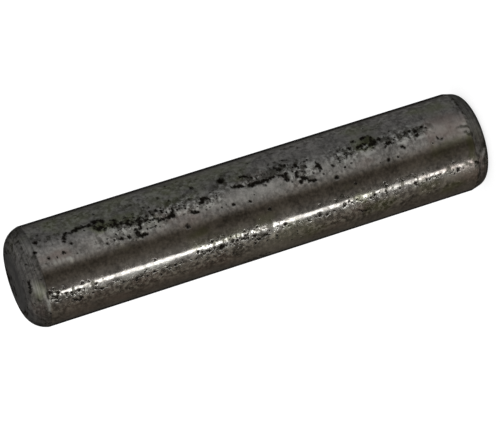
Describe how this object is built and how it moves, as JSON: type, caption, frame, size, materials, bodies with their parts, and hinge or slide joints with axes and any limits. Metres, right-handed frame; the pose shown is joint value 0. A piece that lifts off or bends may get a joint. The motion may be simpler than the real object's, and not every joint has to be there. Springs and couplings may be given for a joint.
{
  "type": "dowel pin",
  "caption": "Solid cylindrical steel locating pin with a short taper and a rounded edge at each end, for keeping machined parts in line.",
  "frame": {"origin": "centre of the tail end face, on the pin's axis", "axes": "+Z along the pin's axis from the tail end to the lead end; the pin is round about it, so X and Y are free"},
  "size_m": [0.008, 0.008, 0.0381],
  "materials": {
    "ground_steel": "ground steel gone dark grey, with black pits and faint brown stains"
  },
  "bodies": {
    "root": {"dowel_pin": "ground_steel"}
  },
  "joints": []
}
